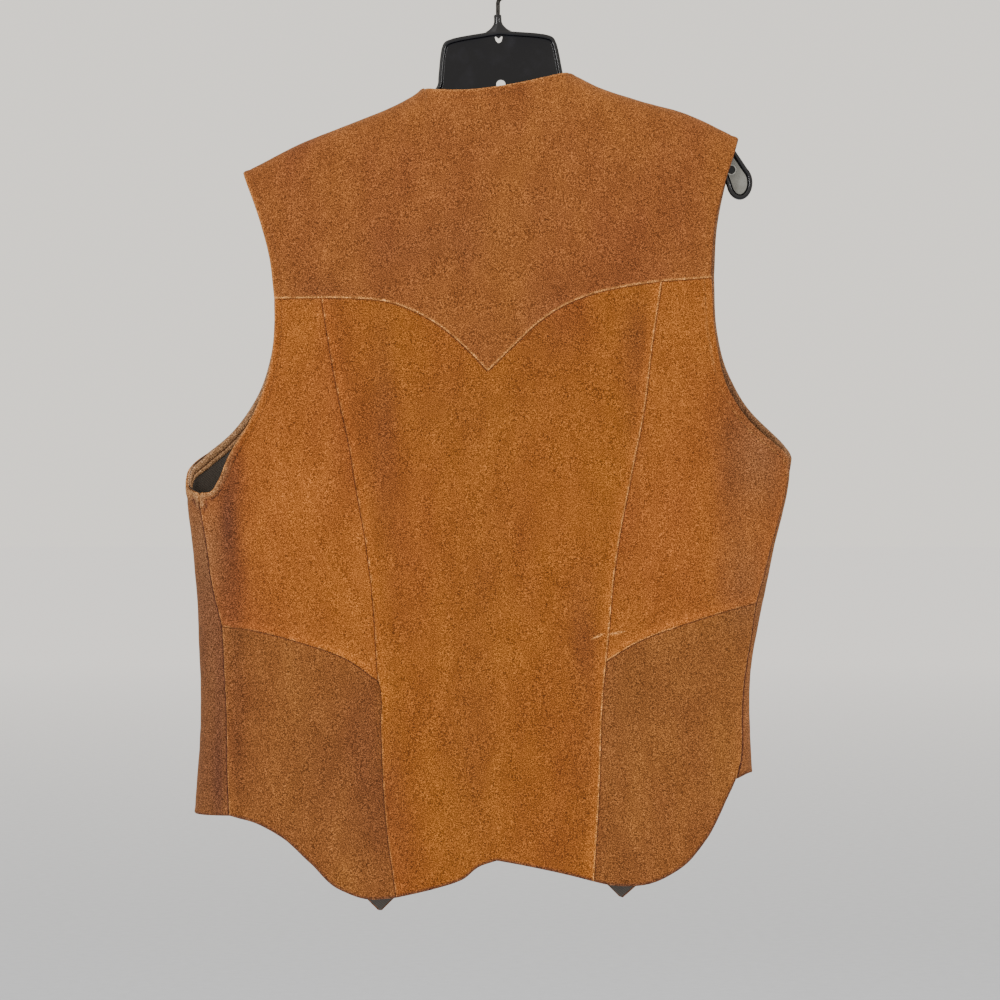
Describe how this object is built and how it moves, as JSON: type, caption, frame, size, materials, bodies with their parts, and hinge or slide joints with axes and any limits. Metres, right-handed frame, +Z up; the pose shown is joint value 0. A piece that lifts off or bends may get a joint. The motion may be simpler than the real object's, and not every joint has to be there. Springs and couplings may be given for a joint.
{
  "type": "western vest on a hanger",
  "caption": "Suede western vest with a pointed back yoke, princess seams and a scalloped hem, hanging on a plastic hanger with a wire hook.",
  "frame": {"origin": "inside of the hanger's hook at its top, where the rail carries the garment", "axes": "+Z up, +X to the right as seen from behind the vest, -Y the side that the vest's back faces"},
  "size_m": [0.5191, 0.0738, 0.837],
  "materials": {
    "yoke_suede": "napped suede",
    "centre_suede": "napped suede",
    "side_suede": "napped suede",
    "lower_suede": "napped suede",
    "front_suede": "napped suede",
    "lining_cloth": "smooth twill",
    "snap_metal": "antiqued",
    "hanger_plastic": "moulded, half gloss",
    "hook_steel": "drawn wire"
  },
  "bodies": {
    "root": {"yoke_back": "yoke_suede", "back_centre": "centre_suede", "back_side_upper_left": "side_suede", "back_side_upper_right": "side_suede", "back_side_lower_left": "lower_suede", "back_side_lower_right": "lower_suede", "front_left": "front_suede", "front_right": "front_suede", "lining_back": "lining_cloth", "lining_front_left": "lining_cloth", "lining_front_right": "lining_cloth", "snap_1": "snap_metal", "snap_2": "snap_metal", "snap_3": "snap_metal", "snap_4": "snap_metal", "hanger_body": "hanger_plastic", "hanger_hook": "hook_steel"}
  },
  "joints": []
}
